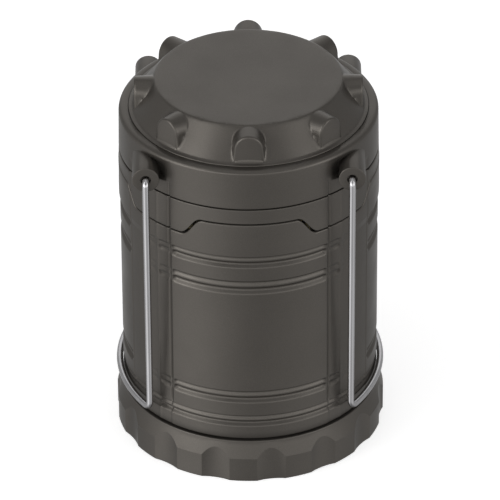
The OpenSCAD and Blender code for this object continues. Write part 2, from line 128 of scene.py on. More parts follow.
# Handles: pin at PIVOT as (x, z), legs from LEG_TOP_Y down to LEG_Y, cross wire at WIRE_Z
WIRE_D = 2.2
PIVOT = (wire_low[0] + WIRE_D / 2, wire_high[2] - WIRE_D / 2)
LEG_TOP_Y = wire_high[1] - WIRE_D / 2
LEG_Y = LEG_TOP_Y - 5.1
WIRE_Z = wire_low[2] + WIRE_D / 2
WIRE_TURN_R = 2.0
WIRE_BEND_R = 3.0
WIRE_SWEEP = 33.2
PIN_END = 24.2
BOSS_Y = LEG_TOP_Y - 1.7
BOSS_R = 4.3
BOSS_ROOT = 15
BORE_END = 24

# Features of the wall, in degrees from the front or back, folded into one quarter
PANEL_HALF = 25.5
LINE_AT = math.degrees(math.asin(PANEL_HALF / BODY_R))
CREASE_AT = 44.7
SIDE_AT = 64.6


# ---------------------------------------------------------------- shape helpers

def ease(t):
    """Smooth step from 0 to 1."""
    t = np.clip(t, 0, 1)
    return t * t * (3 - 2 * t)


def curve(t, knots, values):
    """Runs through the knots with a level tangent at each one."""
    t = np.clip(t, knots[0], knots[-1])
    out = np.full(np.shape(t), float(values[0]))
    for k in range(len(knots) - 1):
        step = ease((t - knots[k]) / (knots[k + 1] - knots[k]))
        out = out + (values[k + 1] - values[k]) * step
    return out


def window(x, low, high, soft):
    """0 outside low to high and 1 within, rising and falling over a width of soft inside the ends."""
    return ease((x - low) / soft) * ease((high - x) / soft)


def bump(x, width):
    """Bell curve of height 1."""
    return np.exp(-(x / width) ** 2)


def soft_max(a, b, k):
    """The larger of a and b, rounded over about k where they meet."""
    return (a + b + np.sqrt((a - b) ** 2 + k * k)) / 2


def rounded(points, steps=4):
    """Outline through (r, z, cut) points; a corner with a cut is curved that far on both sides."""
    out = []
    for k, (r, z, cut) in enumerate(points):
        here = np.array([r, z], float)
        if not cut:
            out.append(here)
            continue
        before = np.array(points[k - 1][:2], float) - here
        after = np.array(points[(k + 1) % len(points)][:2], float) - here
        a = here + before / np.linalg.norm(before) * cut
        b = here + after / np.linalg.norm(after) * cut
        for t in np.linspace(0, 1, steps + 1):
            out.append((1 - t) ** 2 * a + 2 * t * (1 - t) * here + t * t * b)
    return out


def fold(phi):
    """Angle from the nearer of front and back, 0 to 90 degrees."""
    return np.degrees(np.abs(np.arcsin(np.clip(np.sin(phi), -1, 1))))


def ring(r, z, phi):
    """Points of one ring; phi runs from the front towards +X."""
    r = np.broadcast_to(r, phi.shape)
    z = np.broadcast_to(z, phi.shape)
    return np.stack([r * np.sin(phi), -r * np.cos(phi), z], axis=-1)


def make_mesh(name, points, faces, crease=38):
    """Smooth-shaded mesh from points in millimetres; edges sharper than crease degrees stay sharp."""
    mesh = bpy.data.meshes.new(name)
    mesh.from_pydata((np.asarray(points) * MM).tolist(), [], faces)
    mesh.validate()
    mesh.polygons.foreach_set("use_smooth", [True] * len(mesh.polygons))
    mesh.set_sharp_from_angle(angle=math.radians(crease))
    piece = bpy.data.objects.new(name, mesh)
    bpy.context.scene.collection.objects.link(piece)
    return piece


def skin(name, rings, closed, crease=38):
    """Skin over a list of rings: a closed loop of rings, or one that ends in a point at both ends."""
    rings = np.array(rings)
    m, n = rings.shape[:2]
    points = rings.reshape(-1, 3)
    j = np.arange(n)
    nxt = (j + 1) % n
    faces = []
    for i in range(m if closed else m - 1):
        a, b = i * n, ((i + 1) % m) * n
        faces += np.stack([a + j, a + nxt, b + nxt, b + j], axis=1).tolist()
    if not closed:
        poles = np.array([rings[0].mean(axis=0), rings[-1].mean(axis=0)])
        points = np.concatenate([points, poles])
        last = (m - 1) * n
        faces += np.stack([np.full(n, m * n), nxt, j], axis=1).tolist()
        faces += np.stack([last + j, last + nxt, np.full(n, m * n + 1)], axis=1).tolist()
    return make_mesh(name, points, faces, crease)


def place(piece, body, material, slot, *nodes):
    """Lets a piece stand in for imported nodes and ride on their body."""
    piece.data.materials.clear()
    piece.data.materials.append(material)
    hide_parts(*nodes)
    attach(piece, body)


def angles(step, extra):
    """All angles round the body: even steps plus extra folded angles in each quarter."""
    even = np.arange(0, 360, step)
    extra = np.array(extra, float)
    quarters = np.concatenate([extra, 180 - extra, 180 + extra, 360 - extra]) % 360
    far = even[np.min(np.abs((even[:, None] - quarters[None, :] + 180) % 360 - 180), axis=1) > step / 5]
    return np.radians(np.unique(np.round(np.concatenate([far, quarters]), 5)))


LINE_STEPS = LINE_AT + np.linspace(-1.5, 1.5, 17)
CREASE_STEPS = CREASE_AT + np.array([-1.2, -0.8, -0.4, 0, 0.4, 0.8, 1.2])
SIDE_STEPS = SIDE_AT + np.array([-1.2, -0.8, -0.5, -0.2, 0.1, 0.4, 0.8, 1.3])
TAB_STEPS = np.arange(20.3, 32.2, 0.6)
WALL_PHI = angles(0.9, np.concatenate([LINE_STEPS, CREASE_STEPS, SIDE_STEPS, TAB_STEPS, 90 - TAB_STEPS]))

# ---------------------------------------------------------------- upright walls

# Grooves as (top, height, broken at the corners); each is a pair of channels with a bead between
GROOVES = [(86.2, 4.8, True), (76.8, 5.4, True), (34.2, 5.0, True), (24.6, 4.6, False)]
GROOVE_T = [0, 0.16, 0.42, 0.66, 1.0]
GROOVE_DEPTH = [0, 0.8, 0.3, 1.05, 0]

# Fine vertical lines beside the panels, sunk corners between panels and sides, raised crease in them
LINE_DEPTH = 0.6
LINE_WIDTH = 1.0
LINE_FOOT = GROOVES[-1][0] - 0.5
CORNER_DROP = 0.16
CREASE_H = 0.12

# The walls stand out a little above the top groove, and lean in again towards the rim
FLARE_Z = [84.0, 86.2, 88.5, 118.0]
FLARE_OUT = [0, 0.32, 0.36, -0.1]


def flare(z):
    """How far the walls stand out from the nominal radius."""
    return np.interp(z, FLARE_Z, FLARE_OUT)


def line_share(from_line):
    """Depth of a vertical line, 0 to 1: a narrow groove with soft edges."""
    return np.clip(1 - from_line / LINE_WIDTH, 0, 1) ** 1.4


def corner_share(f):
    """How far the wall has sunk into a corner, 0 to 1."""
    return window(f, LINE_AT, SIDE_AT + 0.8, 0.9)


def wall_r(phi, z):
    """Outside radius of shell, skirt and collar, without the grooves."""
    f = fold(phi)
    r = BODY_R + flare(z) + np.zeros_like(f)
    r -= CORNER_DROP * corner_share(f)
    r -= LINE_DEPTH * line_share(np.abs(f - LINE_AT)) * ease((z - LINE_FOOT) / 1.5)
    r += CREASE_H * bump(f - CREASE_AT, 0.7)
    return r


def groove_share(phi, t):
    """Depth of a broken groove along the body, 0 to 1; t runs from its top edge to its bottom edge.

    It is full on the panel and the side, shallow on both halves of the corner, and out between them.
    Its ends are round, so they draw back towards the top and bottom edges.
    """
    f = fold(phi)
    end = 1 - np.sqrt(np.clip(1 - (2 * np.clip(t, 0, 1) - 1) ** 2, 0, 1))
    panel = 1 - ease((f - (LINE_AT - 2.3) + 0.9 * end) / 1.8)
    inner_corner = 0.42 * window(f, LINE_AT - 0.2, CREASE_AT - 0.2 - 1.6 * end, 2.0)
    outer_corner = 0.22 * window(f, CREASE_AT + 0.2, CREASE_AT + 5.8 - 1.6 * end, 1.8)
    side = ease((f - SIDE_AT - 0.6 - 1.2 * end) / 2.4)
    return np.maximum.reduce([panel, inner_corner, outer_corner, side])


def grooved_r(phi, z):
    """Outside radius of the shell with its grooves."""
    r = wall_r(phi, z)
    for top, height, broken in GROOVES:
        t = (top - z) / height
        if 0 < t < 1:
            depth = curve(t, GROOVE_T, GROOVE_DEPTH)
            r = r - depth * (groove_share(phi, t) if broken else 1)
    return r


def mouth(phi, gap):
    """Height of the wavy parting line, with a tab at front, back and sides; gap moves it off the tabs."""
    from_axis = np.radians(45 - np.abs(45 - fold(phi)))
    u = BODY_R * np.sin(from_axis) - gap
    t = np.clip((TAB_HALF + TAB_EASE - u) / TAB_EASE, 0, 1)
    return MOUTH_Z + TAB_RISE * t ** 3 * (t * (6 * t - 15) + 10) + gap


def edge_rings(phi, z_edge, r_fn, cut, upwards):
    """Rings over a rounded edge of the wall at z_edge: +1 for an upper edge, -1 for a lower one."""
    out = []
    for a in np.radians([0, 22, 45, 68, 90][::upwards]):
        z = z_edge - cut * (1 - math.sin(a)) * upwards
        out.append(ring(r_fn(phi, z_edge - cut * upwards) - cut * (1 - math.cos(a)), z, phi))
    return out


def shell_wall_rings(phi):
    """Outside of the lower shell, from the floor to the parting line, in fine steps at the grooves."""
    cut = 0.55
    low, high = FLOOR_Z + cut, GROOVES[0][0] + 0.6
    clear = 0.8
    levels = set(np.arange(low, high, 2.5))
    for top, height, _ in GROOVES:
        levels = {z for z in levels if not top - height - clear < z < top + clear}
        levels |= set(top - height * np.linspace(-0.04, 1.04, 28))
    levels = np.array(sorted(levels | {low, high}))
    rings = [ring(grooved_r(phi, z), z, phi) for z in levels]
    top = mouth(phi, 0)
    for t in (0.25, 0.5, 0.75):
        z = high + (top - cut - high) * t
        rings.append(ring(wall_r(phi, high) + flare(z) - flare(high), z, phi))
    return rings + edge_rings(phi, top, lambda p, _: wall_r(p, MOUTH_Z), cut, 1)


def build_lower_shell():
    """Barrel with its mouth, the lip and ring groove inside, the floor, and the threaded neck."""
    phi = WALL_PHI
    foot_cut = 0.35
    rings = [ring(wall_r(phi, FLOOR_Z) - foot_cut, FLOOR_Z, phi)]
    rings += shell_wall_rings(phi)
    top = mouth(phi, 0)
    rings += [ring(SHELL_IN + CHAMFER, top, phi), ring(SHELL_IN, top - CHAMFER, phi)]
    lip_top = LIP_Z + 3.3
    groove_low, groove_high, groove_r = LIP_Z + 1.0, LIP_Z + 2.4, LIP_R + 0.8
    inside = [
        (SHELL_IN, lip_top), (LIP_R + CHAMFER, lip_top), (LIP_R, lip_top - CHAMFER),
        (LIP_R, groove_high), (groove_r, groove_high), (groove_r, groove_low),
        (LIP_R, groove_low), (LIP_R, LIP_Z), (SHELL_IN, LIP_Z), (SHELL_IN, FLOOR_TOP),
        (FLOOR_HOLE, FLOOR_TOP), (FLOOR_HOLE, FLOOR_Z), (NECK_IN, FLOOR_Z), (NECK_IN, NECK_Z)
    ]
    rings += [ring(r, z, phi) for r, z in inside]
    rings += thread_rings(phi, NECK_R, THREAD_H, SHELL_THREAD_Z, NECK_Z + 0.3, FLOOR_Z)
    # A row just under the floor keeps the corner between neck and floor narrow
    rings.insert(len(rings) - 1, ring(NECK_R, FLOOR_Z - 0.02, phi))
    return skin("shell_body", rings, closed=True)


def thread_rings(phi, r_wall, height, z_start, z_low, z_high):
    """Rings of a threaded wall: they climb along the four ridges and drop back between them."""
    theta = np.degrees(phi - math.pi / 2) % 90
    climb = THREAD_LEAD / 360
    back = 1 - ease((theta - THREAD_SPAN) / (90 - THREAD_SPAN))
    shift = np.where(theta < THREAD_SPAN, climb * theta, climb * THREAD_SPAN * back)
    share = window(theta, 0, THREAD_SPAN, 2)
    out = [ring(r_wall, z_low, phi)]
    for offset, tip in ((-1.0, 0), (-0.6, 1), (0, 1), (0.6, 1), (1.0, 0)):
        out.append(ring(r_wall + height * tip * share, z_start + offset + shift, phi))
    out.append(ring(r_wall, z_high, phi))
    return out


def build_head_skirt():
    """Band between parting line and collar, with the spigot that the collar sits on."""
    phi = WALL_PHI
    cut = 0.3
    low = mouth(phi, SEAM)
    wider_gap = 0.45 * ease((fold(phi) - SIDE_AT) / 1.2)
    high = COLLAR_Z - SEAM - wider_gap
    rings = edge_rings(phi, low, lambda p, _: wall_r(p, MOUTH_Z), cut, -1)
    for t in np.linspace(0.12, 0.88, 6):
        z = low + cut + (high - low - 2 * cut) * t
        rings.append(ring(wall_r(phi, MOUTH_Z) + flare(z) - flare(MOUTH_Z), z, phi))
    rings += edge_rings(phi, high, lambda p, _: wall_r(p, COLLAR_Z), cut, 1)
    spigot_top, spigot_in = COLLAR_Z + 2.4, SHELL_IN + 0.05
    inside = [
        (SPIGOT_R, high), (SPIGOT_R, spigot_top - CHAMFER), (SPIGOT_R - CHAMFER, spigot_top),
        (spigot_in, spigot_top), (spigot_in, COLLAR_Z - 2), (SHELL_IN, low)
    ]
    rings += [ring(r, z, phi) for r, z in inside]
    return skin("skirt_band", rings, closed=True)


# ---------------------------------------------------------------- collar

def recess(phi, z):
    """Depth of the soft recesses between the bosses and the panels."""
    f = fold(phi)
    beside = window(f, LINE_AT + 0.6, POCKET_END, 6.0)
    height = ease((z - POCKET_Z + 0.4) / 1.5) * ease((POCKET_TOP - z) / 2.4)
    return POCKET_D * beside * height


def build_collar():
    """Ring under the cap: the lines and sunk corners of the wall run out in its lower part."""
    phi = angles(0.9, np.concatenate([LINE_STEPS, CREASE_STEPS]))
    f = fold(phi)

    def collar_r(phi, z):
        step = CORNER_DROP * corner_share(f) * ease((POCKET_Z - z) / 2)
        line = LINE_DEPTH * line_share(np.abs(f - LINE_AT)) * ease((POCKET_Z + 1.5 - z) / 3)
        return BODY_R + flare(z) - step - 0.6 * line - recess(phi, z)

    rings = edge_rings(phi, COLLAR_Z + 0 * phi, collar_r, 0.3, -1)
    levels = np.concatenate([
        [COLLAR_Z + 1.2, COLLAR_Z + 2.4], np.arange(POCKET_Z - 1.5, POCKET_Z + 1.3, 0.16),
        np.arange(POCKET_Z + 1.7, POCKET_TOP + 0.2, 0.3)
    ])
    rings += [ring(collar_r(phi, z), z, phi) for z in levels]
    round_w, round_h = 1.8, 1.4
    for a in np.radians(np.linspace(0, 90, 9)):
        r = BODY_R - 0.08 - round_w * (1 - math.cos(a))
        rings.append(ring(r, RIM_Z - round_h * (1 - math.sin(a)), phi))
    inner = CAP_RIM_R + 0.12
    web_low, web_high, web_hole = COLLAR_Z + 2.5, COLLAR_Z + 4.3, 27
    inside = [
        (inner + 0.15, RIM_Z), (inner + 0.04, RIM_Z - 0.04), (inner, RIM_Z - 0.15), (inner, SEAT_Z),
        (SHELL_IN, SEAT_Z), (SHELL_IN, web_high), (web_hole, web_high), (web_hole, web_low),
        (SPIGOT_R + 0.1, web_low), (SPIGOT_R + 0.1, COLLAR_Z)
    ]
    rings += [ring(r, z, phi) for r, z in inside]
    return skin("collar_ring", rings, closed=True)


def build_boss(x, y):
    """A boss with its bore, turned about an axis along Y; x and y are the signs of its corner."""
    mouth_r, bore_r, mouth_d = 1.6, WIRE_D / 2 + 0.05, 1.2
    outline = rounded([
        (BOSS_R, BOSS_ROOT, 0), (BOSS_R, BOSS_Y, 0.3), (mouth_r, BOSS_Y, 0.2),
        (mouth_r, BOSS_Y - mouth_d, 0), (bore_r, BOSS_Y - mouth_d, 0), (bore_r, BORE_END, 0)
    ])
    turn = np.linspace(0, 2 * math.pi, 65)[:-1]
    rings = []
    for r, along in outline:
        px = x * PIVOT[0] + r * np.sin(turn) * y
        pz = PIVOT[1] + r * np.cos(turn)
        rings.append(np.stack([px, np.full_like(px, y * along), pz], axis=-1))
    return skin("boss", rings, closed=False)


def union(target, others):
    """Joins the others to the target as one closed solid, and removes them."""
    for other in others:
        step = target.modifiers.new("union", "BOOLEAN")
        step.operation = "UNION"
        step.solver = "EXACT"
        step.object = other
    bpy.context.view_layer.update()
    shape = target.evaluated_get(bpy.context.evaluated_depsgraph_get())
    mesh = bpy.data.meshes.new_from_object(shape)
    target.modifiers.clear()
    target.data = mesh
    mesh.polygons.foreach_set("use_smooth", [True] * len(mesh.polygons))
    mesh.set_sharp_from_angle(angle=math.radians(38))
    for other in others:
        bpy.data.objects.remove(other)


# ---------------------------------------------------------------- top cap

# Profile of disc, cone and rim: radius, and depth under the disc
CONE_R = [0, DISC_R - 0.75, DISC_R - 0.35, DISC_R - 0.1, DISC_R + 0.15, DISC_R + 0.45,
          CAP_RIM_R - 1.35, CAP_RIM_R - 1.1, CAP_RIM_R - 0.8, CAP_RIM_R - 0.2, CAP_RIM_R - 0.05, CAP_RIM_R]
CONE_Z = [0, 0, -0.05, -0.17, -0.4, -0.73, -9.35, -9.56, -9.68, -9.82, -9.9, -10.0]

# Lugs: arches about a radial axis, with a rounded outer edge and a fillet in the rows beside them
LUG_AXIS_Z = TOP_Z - 0.2 - LUG_R
LUG_TAPER = 1.0
LUG_CUT = 0.7
LUG_FOOT = [0.3, 0.42, 0.6, 0.85, 1.3]
FILLET_H = 0.3


def cone_z(r):
    """Height of the cap's outside between the lugs."""
    return TOP_Z + np.interp(r, CONE_R, CONE_Z)


def lug_rounding(reach):
    """How much the rounded outer edge of a lug takes off its width and height."""
    over = np.clip(reach - (LUG_REACH - LUG_CUT), 0, LUG_CUT)
    return LUG_CUT - math.sqrt(LUG_CUT ** 2 - over ** 2)


def lug_half(reach):
    """Half width of a lug, which narrows outwards."""
    taper = LUG_TAPER * np.clip((reach - DISC_R) / (LUG_REACH - DISC_R), 0, 1)
    return LUG_R + LUG_TAPER / 2 - taper - lug_rounding(reach)


def cap_row(reach):
    """One ring of the top cap: across each lug, down its sides, and on to the next lug.

    Reach is the distance from the axis along the middle of a lug. Rings inside the disc shrink evenly.
    """
    shrink = min(1, reach / 28)
    half = lug_half(reach) * shrink
    in_lug = reach <= LUG_REACH + 0.001
    arch = np.radians(np.linspace(-90, 90, 25))
    beside = np.array(LUG_FOOT) * shrink
    t = np.concatenate([-half - beside[::-1], half * np.sin(arch), half + beside])
    back = ease((reach - LUG_REACH - 0.05) / 0.6)
    r = np.hypot(reach, t) * (1 - back) + reach * back
    delta = np.degrees(np.arctan2(t, reach))
    floor = cone_z(r)
    lift = np.clip((LUG_AXIS_Z - floor) / 1.5, 0, 1) if in_lug else 0
    foot = np.abs(t) - half
    fillet = FILLET_H * lift * np.clip(1 - (foot - 0.3) / 0.6, 0, 1) ** 2
    z = np.where(foot > 0.01, floor + fillet, floor)
    if in_lug and reach > DISC_R - 0.2:
        vault = LUG_AXIS_Z + (LUG_R - lug_rounding(reach)) * np.cos(arch)
        over = slice(len(beside), -len(beside))
        z[over] = soft_max(vault, floor[over], 0.35 * ease((reach - DISC_R) / 1.5))
    elif not in_lug and reach < LUG_REACH + 0.6:
        end_fillet = FILLET_H * np.clip(1 - (reach - LUG_REACH) / 0.5, 0, 1) ** 2
        z = np.where(foot < 0.3, floor + end_fillet, z)
    between = np.linspace(0, 1, 9)[1:]
    gap = 180 / LUGS - delta[-1]
    d_right = delta[-1] + gap * between
    r_right = r[-1] + (reach - r[-1]) * ease(between)
    d_left = -d_right[::-1][1:]
    r_left = r_right[::-1][1:]
    delta = np.concatenate([d_left, delta, d_right])
    r = np.concatenate([r_left, r, r_right])
    z = np.concatenate([cone_z(r_left), z, cone_z(r_right)])
    return np.concatenate([ring(r, z, np.radians(delta + 360 / LUGS * k)) for k in range(LUGS)])


def build_top_cap():
    """Hollow dome: the inside from its middle to the rim, then the rows of the outside back in."""
    middle_r = 3
    reaches = np.concatenate([
        CAP_RIM_R - np.array([0, 0.05, 0.2, 0.8, 1.1, 1.35]),
        LUG_REACH + np.array([0.5, 0.3, 0.15, 0.06, 0.02, 0, -0.03, -0.09, -0.18, -0.32, -0.48, -0.7]),
        np.arange(LUG_REACH - 1.0, DISC_R + 0.5, -0.3),
        DISC_R + np.array([0.45, 0.3, 0.15, 0.0, -0.1, -0.22, -0.35, -0.5, -0.75, -1.2]),
        [28, 26, 22, 16, 9, middle_r]
    ])
    rows = [cap_row(reach) for reach in reaches]
    directions = rows[0][:, :2] / np.linalg.norm(rows[0][:, :2], axis=1)[:, None]

    def level(r, z):
        return np.concatenate([directions * r, np.full((len(directions), 1), z)], axis=1)

    wall, under_disc = CAP_RIM_R - 2, TOP_Z - 2
    inner = [
        (middle_r, under_disc), (DISC_R - 1, under_disc), (wall - 0.5, CAP_RIM_Z + 4.2),
        (wall, CAP_RIM_Z + 3.4), (wall, CAP_RIM_Z), (CAP_RIM_R - 0.2, CAP_RIM_Z),
        (CAP_RIM_R, CAP_RIM_Z + 0.2), (CAP_RIM_R, TOP_Z - 10.6)
    ]
    return skin("cap_dome", [level(r, z) for r, z in inner] + rows, closed=False, crease=26)


# ---------------------------------------------------------------- base cap

def build_base_cap():
    """Ring with finger scallops; its rows follow arch_z, where the scallops run out into the cone."""
    period = 360 / SCALLOPS
    centre = BASE_R - SCALLOP_D + SCALLOP_R
    cos_edge = (BASE_R ** 2 + centre ** 2 - SCALLOP_R ** 2) / (2 * BASE_R * centre)
    edge = math.degrees(math.acos(cos_edge))
    in_scallop = np.linspace(-edge, edge, 25)
    on_lobe = np.linspace(edge, period - edge, 9)[1:-1]
    local = np.concatenate([in_scallop, on_lobe])
    phi = np.radians(np.concatenate([local + SCALLOP_PHASE + period * k for k in range(SCALLOPS)]))
    a = np.radians(in_scallop)
    cut_r = centre * np.cos(a) - np.sqrt(SCALLOP_R ** 2 - (centre * np.sin(a)) ** 2)
    depth = np.tile(np.concatenate([np.maximum(BASE_R - cut_r, 0), 0 * on_lobe]), SCALLOPS)
    deepening = (1 - SCALLOP_FOOT) / SCALLOP_FULL_Z
    slope = (BASE_R - BODY_R - 0.2) / (BASE_TOP - SHOULDER_Z)
    arch_z = (SHOULDER_Z * slope + SCALLOP_FOOT * depth) / (slope - deepening * depth)

    def wall(z):
        return BASE_R - depth * (SCALLOP_FOOT + deepening * z)

    foot_cut, top_cut, middle_r = 0.5, 0.4, 12
    rings = [ring(middle_r, 0, phi), ring(36, 0, phi)]
    for a in np.radians(np.linspace(0, 90, 8)):
        r = wall(foot_cut) - foot_cut * (1 - math.sin(a))
        rings.append(ring(r, foot_cut * (1 - math.cos(a)), phi))
    for t in np.linspace(0, 1, 7)[1:]:
        z = foot_cut + (arch_z - foot_cut) * t
        rings.append(ring(wall(z), z, phi))
    high = BASE_TOP - top_cut
    for t in np.linspace(0, 1, 6)[1:]:
        z = arch_z + (high - arch_z) * t
        rings.append(ring(BASE_R - slope * (z - SHOULDER_Z), z, phi))
    for a in np.radians(np.linspace(0, 90, 8)[1:]):
        r = BASE_R - slope * (high - SHOULDER_Z) - top_cut * (1 - math.cos(a))
        rings.append(ring(r, high + top_cut * math.sin(a), phi))
    bore, floor_z = NECK_R + 1.9, 2.5
    rings += [ring(bore + CHAMFER, BASE_TOP, phi), ring(bore, BASE_TOP - CHAMFER, phi)]
    rings += thread_rings(phi, bore, -THREAD_H, CAP_THREAD_Z, BASE_TOP - 0.5, floor_z)[::-1][1:-1]
    rings += [ring(bore, floor_z + CHAMFER, phi), ring(bore - CHAMFER, floor_z, phi)]
    rings.append(ring(middle_r, floor_z, phi))
    return skin("base_ring", rings, closed=False, crease=14)


# ---------------------------------------------------------------- handles

def arc_points(centre, a, b, steps):
    """Quarter turn about centre from the offset a to the offset b."""
    out = []
    for t in np.linspace(0, math.pi / 2, steps + 1):
        out.append(np.array(centre) + np.array(a) * math.cos(t) + np.array(b) * math.sin(t))
    return out


def handle_path():
    """Centre line of the handle at +X, from one pin to the other; the legs spread towards the pins."""
    turn_r, bend_r, sweep = WIRE_TURN_R, WIRE_BEND_R, math.radians(WIRE_SWEEP)
    px, pz = PIVOT
    # Arc of the cross wire, and the lean of a leg that touches the turn at its top
    arc_r = (LEG_Y - bend_r * math.cos(sweep)) / math.sin(sweep)
    arc_x = px - arc_r * math.cos(sweep) + bend_r * math.sin(sweep)
    to_turn = np.array([LEG_TOP_Y - turn_r - LEG_Y, pz - turn_r - WIRE_Z - bend_r])
    spread = math.atan2(*to_turn) + math.asin(turn_r / np.linalg.norm(to_turn))
    turn_y = LEG_TOP_Y - turn_r
    # Pin in its boss, and the turn down into the leg
    half = [np.array([px, PIN_END, pz]), np.array([px, turn_y - 4, pz])]
    for a in np.linspace(math.pi / 2, -spread, 10):
        half.append(np.array([px, turn_y + turn_r * math.cos(a), pz - turn_r + turn_r * math.sin(a)]))
    # Straight leg, and the bend into the cross wire
    foot, head = np.array([px, LEG_Y, WIRE_Z + bend_r]), half[-1]
    half += [head + (foot - head) * t for t in np.linspace(0.03, 0.97, 14)]
    inwards = np.array([math.sin(sweep), -math.cos(sweep), 0])
    half += arc_points(foot + inwards * bend_r, -inwards * bend_r, (0, 0, -bend_r), 10)
    # Half of the cross wire, an arc round the shell
    for a in np.linspace(sweep, 0, 17)[1:]:
        half.append(np.array([arc_x + arc_r * math.cos(a), arc_r * math.sin(a), WIRE_Z]))
    mirrored = [p * np.array([1, -1, 1]) for p in half[::-1][1:]]
    return np.array(half + mirrored)


def build_handle(name, side):
    """Round wire along the handle path, with blunt ends; side is 1 at +X and -1 at -X."""
    path = handle_path() * np.array([side, 1, 1])
    step = np.diff(path, axis=0)
    tangent = np.concatenate([step[:1], step[:-1] + step[1:], step[-1:]])
    tangent /= np.linalg.norm(tangent, axis=1)[:, None]
    turn = np.linspace(0, 2 * math.pi, 25)[:-1]
    up = np.array([1.0, 0, 0])
    rings = []
    for p, t in zip(path, tangent):
        up = up - t * (up @ t)
        up /= np.linalg.norm(up)
        across = np.cross(t, up)
        rings.append(p + WIRE_D / 2 * (np.cos(turn)[:, None] * up + np.sin(turn)[:, None] * across))
    blunt = [path[k] + (rings[k] - path[k]) * 0.7 for k in (0, -1)]
    return skin(name, [blunt[0], *rings, blunt[1]], closed=False, crease=50)


# ---------------------------------------------------------------- materials

def linear(*srgb):
    """Linear colour, with alpha, of a display colour given as 0 to 255."""
    shares = [c / 255 for c in srgb]
    return tuple(c / 12.92 if c <= 0.04 else ((c + 0.055) / 1.055) ** 2.4 for c in shares) + (1.0,)


class Finish:
    """A material with a short way to add and join shader nodes."""

    def __init__(self, name):
        self.material = bpy.data.materials.new(name)
        self.material.use_nodes = True
        self.tree = self.material.node_tree
        self.shader = self.tree.nodes["Principled BSDF"]
        self.place = self.add("ShaderNodeTexCoord").outputs["Object"]

    def add(self, kind, **values):
        """New node; each value sets a property of it or else the input of that name, with _ for a space."""
        node = self.tree.nodes.new(kind)
        for key, value in values.items():
            if hasattr(node, key):
                setattr(node, key, value)
            else:
                node.inputs[key.replace("_", " ")].default_value = value
        return node

    def join(self, source, target):
        self.tree.links.new(source, target)

    def set(self, **values):
        """Sets inputs of the surface shader, with _ for a space."""
        for key, value in values.items():
            self.shader.inputs[key.replace("_", " ")].default_value = value

    def noise(self, per_metre, detail=2.0, stretch=None):
        """Noise in the piece's own frame; a small number in stretch draws it out along that axis."""
        node = self.add("ShaderNodeTexNoise", Scale=per_metre, Detail=detail)
        if stretch is None:
            self.join(self.place, node.inputs["Vector"])
        else:
            scale = self.add("ShaderNodeMapping", Scale=stretch)
            self.join(self.place, scale.inputs["Vector"])
            self.join(scale.outputs["Vector"], node.inputs["Vector"])
        return node.outputs["Fac"]

    def spread(self, source, low, high, start=0.3, end=0.7):
        """Maps start to low and end to high."""
        node = self.add("ShaderNodeMapRange")
        node.inputs["From Min"].default_value = start
        node.inputs["From Max"].default_value = end
        node.inputs["To Min"].default_value = low
        node.inputs["To Max"].default_value = high
        self.join(source, node.inputs["Value"])
        return node.outputs["Result"]

    def times(self, a, b):
        node = self.add("ShaderNodeMath", operation="MULTIPLY")
        self.join(a, node.inputs[0])
        self.join(b, node.inputs[1])
        return node.outputs[0]

    def tint(self, colour, factor):
        """Base colour times a grey factor."""
        node = self.add("ShaderNodeVectorMath", operation="SCALE")
        node.inputs[0].default_value = colour[:3]
        self.join(factor, node.inputs["Scale"])
        return node.outputs["Vector"]

    def mix(self, factor, a, b):
        """Colour between a and b; sockets 6 and 7 are the node's two colours."""
        node = self.add("ShaderNodeMix", data_type="RGBA")
        self.join(factor, node.inputs["Factor"])
        for socket, value in ((node.inputs[6], a), (node.inputs[7], b)):
            if hasattr(value, "is_output"):
                self.join(value, socket)
            else:
                socket.default_value = value
        return node.outputs[2]

    def bumps(self, *layers):
        """Stacks bump layers given as (height source, strength, depth in mm)."""
        normal = None
        for source, strength, depth in layers:
            node = self.add("ShaderNodeBump", Strength=strength, Distance=depth * MM)
            self.join(source, node.inputs["Height"])
            if normal is not None:
                self.join(normal, node.inputs["Normal"])
            normal = node.outputs["Normal"]
        self.join(normal, self.shader.inputs["Normal"])


def metallic_plastic(name, colour, roughness, metallic):
    """Moulded plastic with a fine metallic flake, and edges painted lighter as a painted highlight with
    light wear.
    """
    f = Finish(name)
    flake = f.spread(f.noise(5200, 1.0), 0.9, 1.1)
    cloud = f.spread(f.noise(35, 3.0), 0.95, 1.05)
    colour_out = f.tint(colour, f.times(flake, cloud))
    # Edges are painted lighter through this bevel mask: a painted highlight along the rounded edges,
    # together with light wear.
    rim = f.add("ShaderNodeBevel", samples=6, Radius=0.35 * MM)
    facing = f.add("ShaderNodeVectorMath", operation="DOT_PRODUCT")
    f.join(rim.outputs["Normal"], facing.inputs[0])
    f.join(f.add("ShaderNodeNewGeometry").outputs["Normal"], facing.inputs[1])
    edge_sheen_and_wear = f.spread(facing.outputs["Value"], 0.16, 0, 0.90, 0.985)
    worn_and_sheen = tuple(min(1, c * 1.9) for c in colour[:3]) + (1,)
    f.join(f.mix(edge_sheen_and_wear, colour_out, worn_and_sheen), f.shader.inputs["Base Color"])
    f.join(f.spread(f.noise(90, 4.0), roughness - 0.04, roughness + 0.05), f.shader.inputs["Roughness"])
    f.set(Metallic=metallic, IOR=1.5)
    f.bumps((f.noise(2600, 2.0), 0.10, 0.05), (f.noise(700, 2.0), 0.08, 0.12))
    return f.material


def dark_plastic(name, colour, roughness=0.5):
    """Plain plastic or rubber with a slight cloudiness."""
    f = Finish(name)
    f.join(f.tint(colour, f.spread(f.noise(60, 3.0), 0.85, 1.15)), f.shader.inputs["Base Color"])
    f.join(f.spread(f.noise(150, 3.0), roughness - 0.06, roughness + 0.08), f.shader.inputs["Roughness"])
    f.bumps((f.noise(1500, 3.0), 0.25, 0.05))
    return f.material


